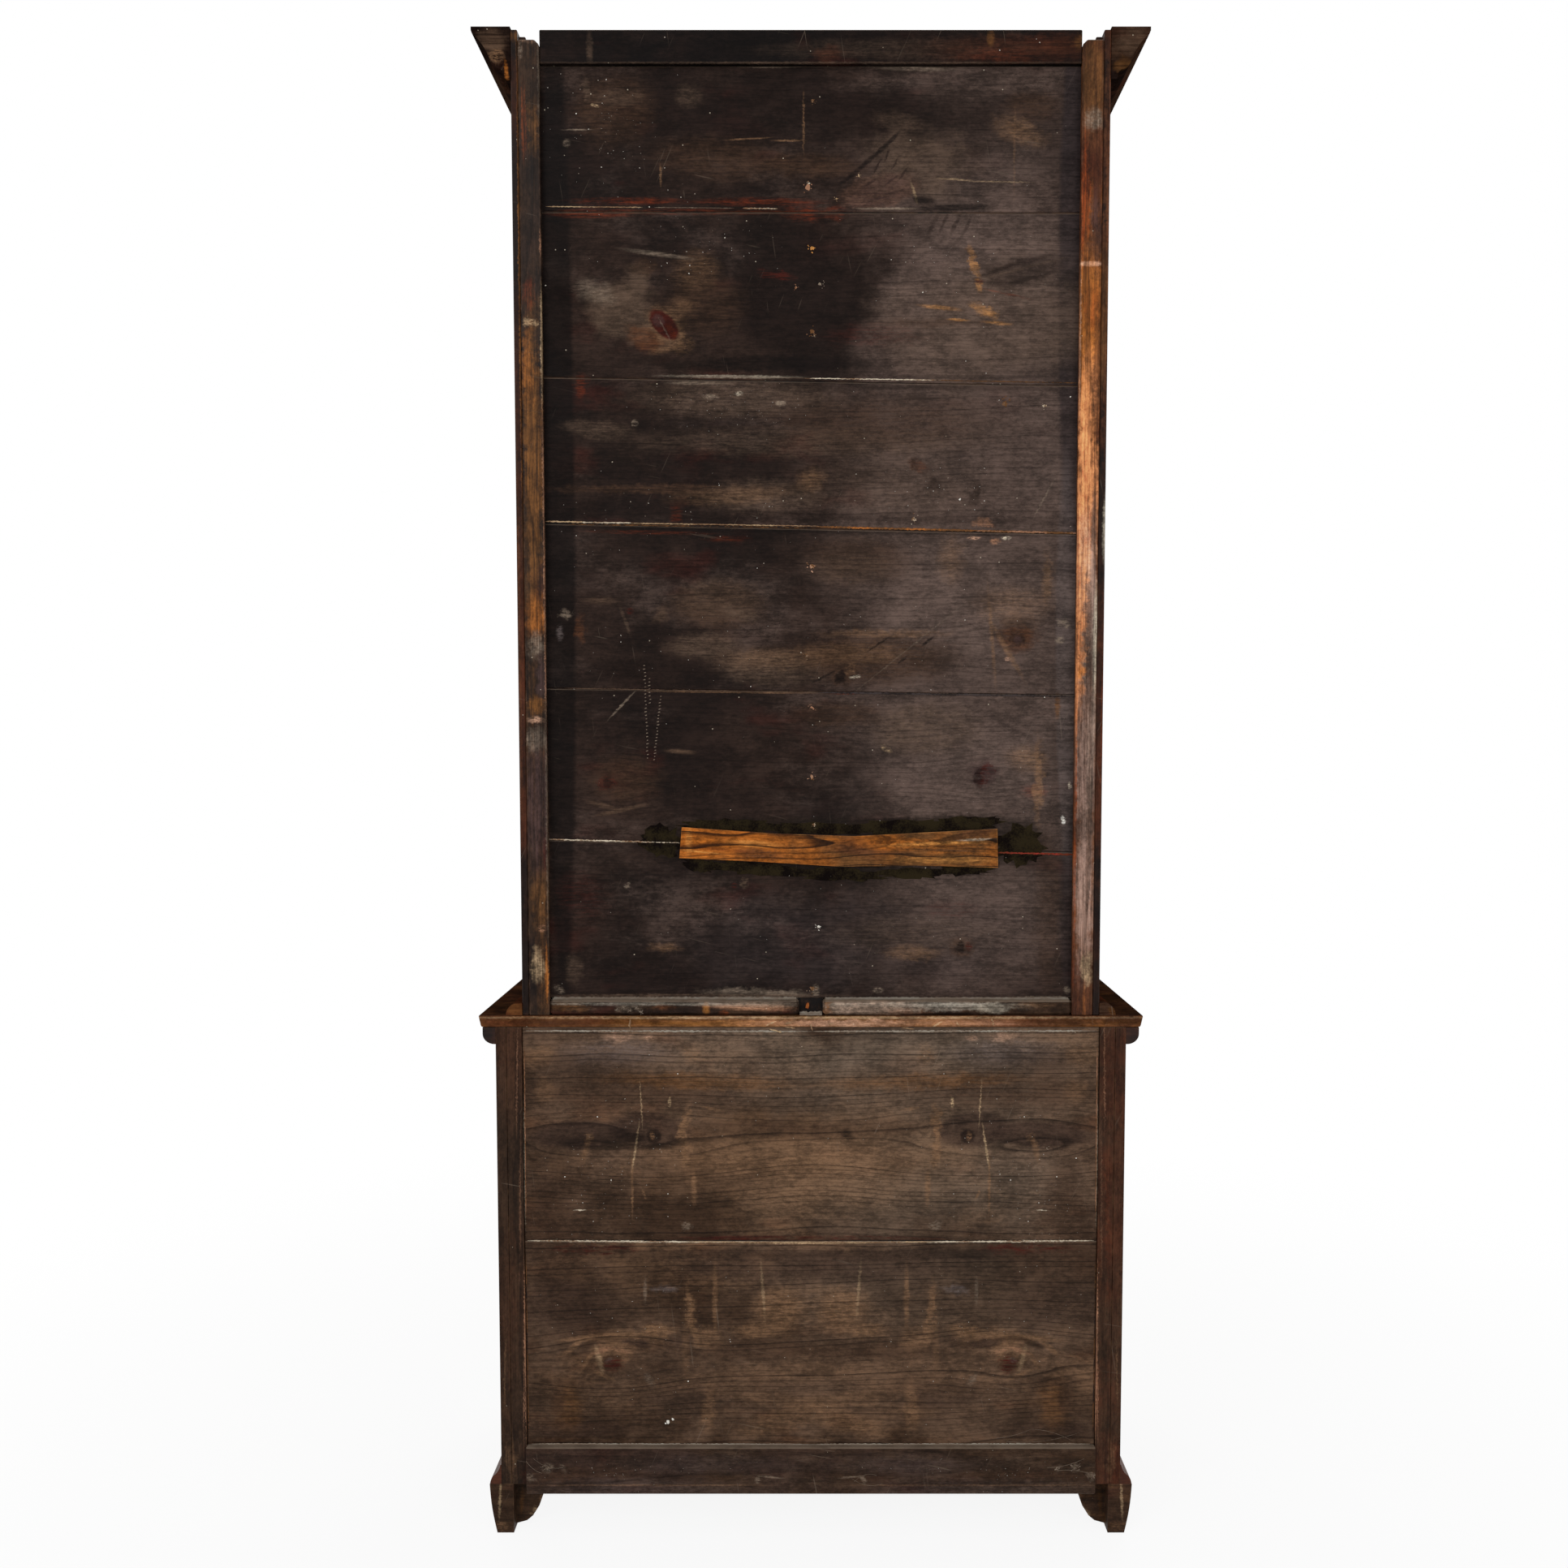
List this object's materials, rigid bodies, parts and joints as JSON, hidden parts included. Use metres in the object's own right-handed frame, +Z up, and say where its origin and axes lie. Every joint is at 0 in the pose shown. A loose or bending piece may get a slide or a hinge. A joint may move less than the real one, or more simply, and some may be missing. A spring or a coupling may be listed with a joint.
{
  "type": "two-part glazed cupboard",
  "caption": "Tall stacked cupboard: glazed upper case with shelves on a lower case with a drawer, panelled doors and bracket feet, boarded back.",
  "frame": {"origin": "centre of the whole cupboard's footprint box, on the floor under the feet", "axes": "+Z up, -Y towards the front with the doors, +Y towards the boarded back, +X to the right as seen from the front"},
  "size_m": [1.003, 0.4902, 2.25],
  "materials": {
    "dark_softwood": "aged, stained almost black, dull",
    "brown_softwood": "aged bare softwood, dull",
    "stained_post": "dark stained, worn",
    "polished_pine": "orange-brown, old shellac",
    "walnut": "waxed walnut, satin",
    "walnut_moulding": "waxed walnut, darker, satin",
    "golden_strip": "golden worn softwood",
    "drawer_lining": "plain unfinished",
    "old_brass": "tarnished",
    "ebonised_knob": "turned, ebonised, polished",
    "window_glass": "clear old window glass"
  },
  "bodies": {
    "case": {"lower_side_left": "walnut", "lower_side_right": "walnut", "lower_bottom_board": "walnut", "drawer_divider": "walnut", "lower_front_rail": "walnut", "lower_back_board_1": "brown_softwood", "lower_back_board_2": "brown_softwood", "lower_back_rail": "dark_softwood", "worktop": "walnut", "worktop_moulding": "walnut_moulding", "base_moulding": "walnut_moulding", "front_foot_left": "walnut_moulding", "front_foot_right": "walnut_moulding", "rear_foot_left": "walnut_moulding", "rear_foot_right": "walnut_moulding", "lower_hinge_left_1": "old_brass", "lower_hinge_left_2": "old_brass", "lower_hinge_right_1": "old_brass", "lower_hinge_right_2": "old_brass", "upper_side_left": "walnut", "upper_side_right": "walnut", "upper_bottom_board": "walnut", "upper_top_board": "dark_softwood", "frieze_board": "walnut", "upper_shelf_1": "walnut", "upper_shelf_2": "walnut", "upper_shelf_3": "walnut", "upper_back_board_1": "dark_softwood", "upper_back_board_2": "dark_softwood", "upper_back_board_3": "dark_softwood", "upper_back_board_4": "dark_softwood", "upper_back_board_5": "dark_softwood", "upper_back_board_6": "dark_softwood", "upper_back_top_rail": "dark_softwood", "upper_back_stile_left": "polished_pine", "upper_back_stile_right": "polished_pine", "rear_cleat_left": "stained_post", "rear_cleat_right": "stained_post", "repair_strip": "golden_strip", "waist_moulding": "walnut_moulding", "cornice": "walnut_moulding", "upper_hinge_left_1": "old_brass", "upper_hinge_left_2": "old_brass", "upper_hinge_right_1": "old_brass", "upper_hinge_right_2": "old_brass"},
    "drawer": {"drawer_front": "walnut", "drawer_box": "drawer_lining", "drawer_bottom": "drawer_lining", "drawer_knob_left": "ebonised_knob", "drawer_knob_right": "ebonised_knob"},
    "lower_left_door": {"lower_door_left": "walnut", "lower_door_panel_left": "walnut"},
    "lower_right_door": {"lower_door_right": "walnut", "lower_door_panel_right": "walnut", "lower_door_knob": "ebonised_knob"},
    "upper_left_door": {"upper_door_left": "walnut", "upper_door_glass_left": "window_glass"},
    "upper_right_door": {"upper_door_right": "walnut", "upper_door_glass_right": "window_glass", "upper_door_knob": "ebonised_knob"}
  },
  "joints": [
    {"name": "drawer_slide", "type": "slide", "parent": "case", "child": "drawer", "axis": [0, -1, 0], "range_m": [0, 0.3]},
    {"name": "lower_left_hinge", "type": "hinge", "parent": "case", "child": "lower_left_door", "pos_m": [-0.4531, -0.21765, 0.358], "axis": [0, 0, -1], "range_deg": [0, 110]},
    {"name": "lower_right_hinge", "type": "hinge", "parent": "case", "child": "lower_right_door", "pos_m": [0.4531, -0.21765, 0.358], "axis": [0, 0, 1], "range_deg": [0, 110]},
    {"name": "upper_left_hinge", "type": "hinge", "parent": "case", "child": "upper_left_door", "pos_m": [-0.4161, -0.07765, 1.487], "axis": [0, 0, -1], "range_deg": [0, 110]},
    {"name": "upper_right_hinge", "type": "hinge", "parent": "case", "child": "upper_right_door", "pos_m": [0.4161, -0.07765, 1.487], "axis": [0, 0, 1], "range_deg": [0, 110]}
  ]
}
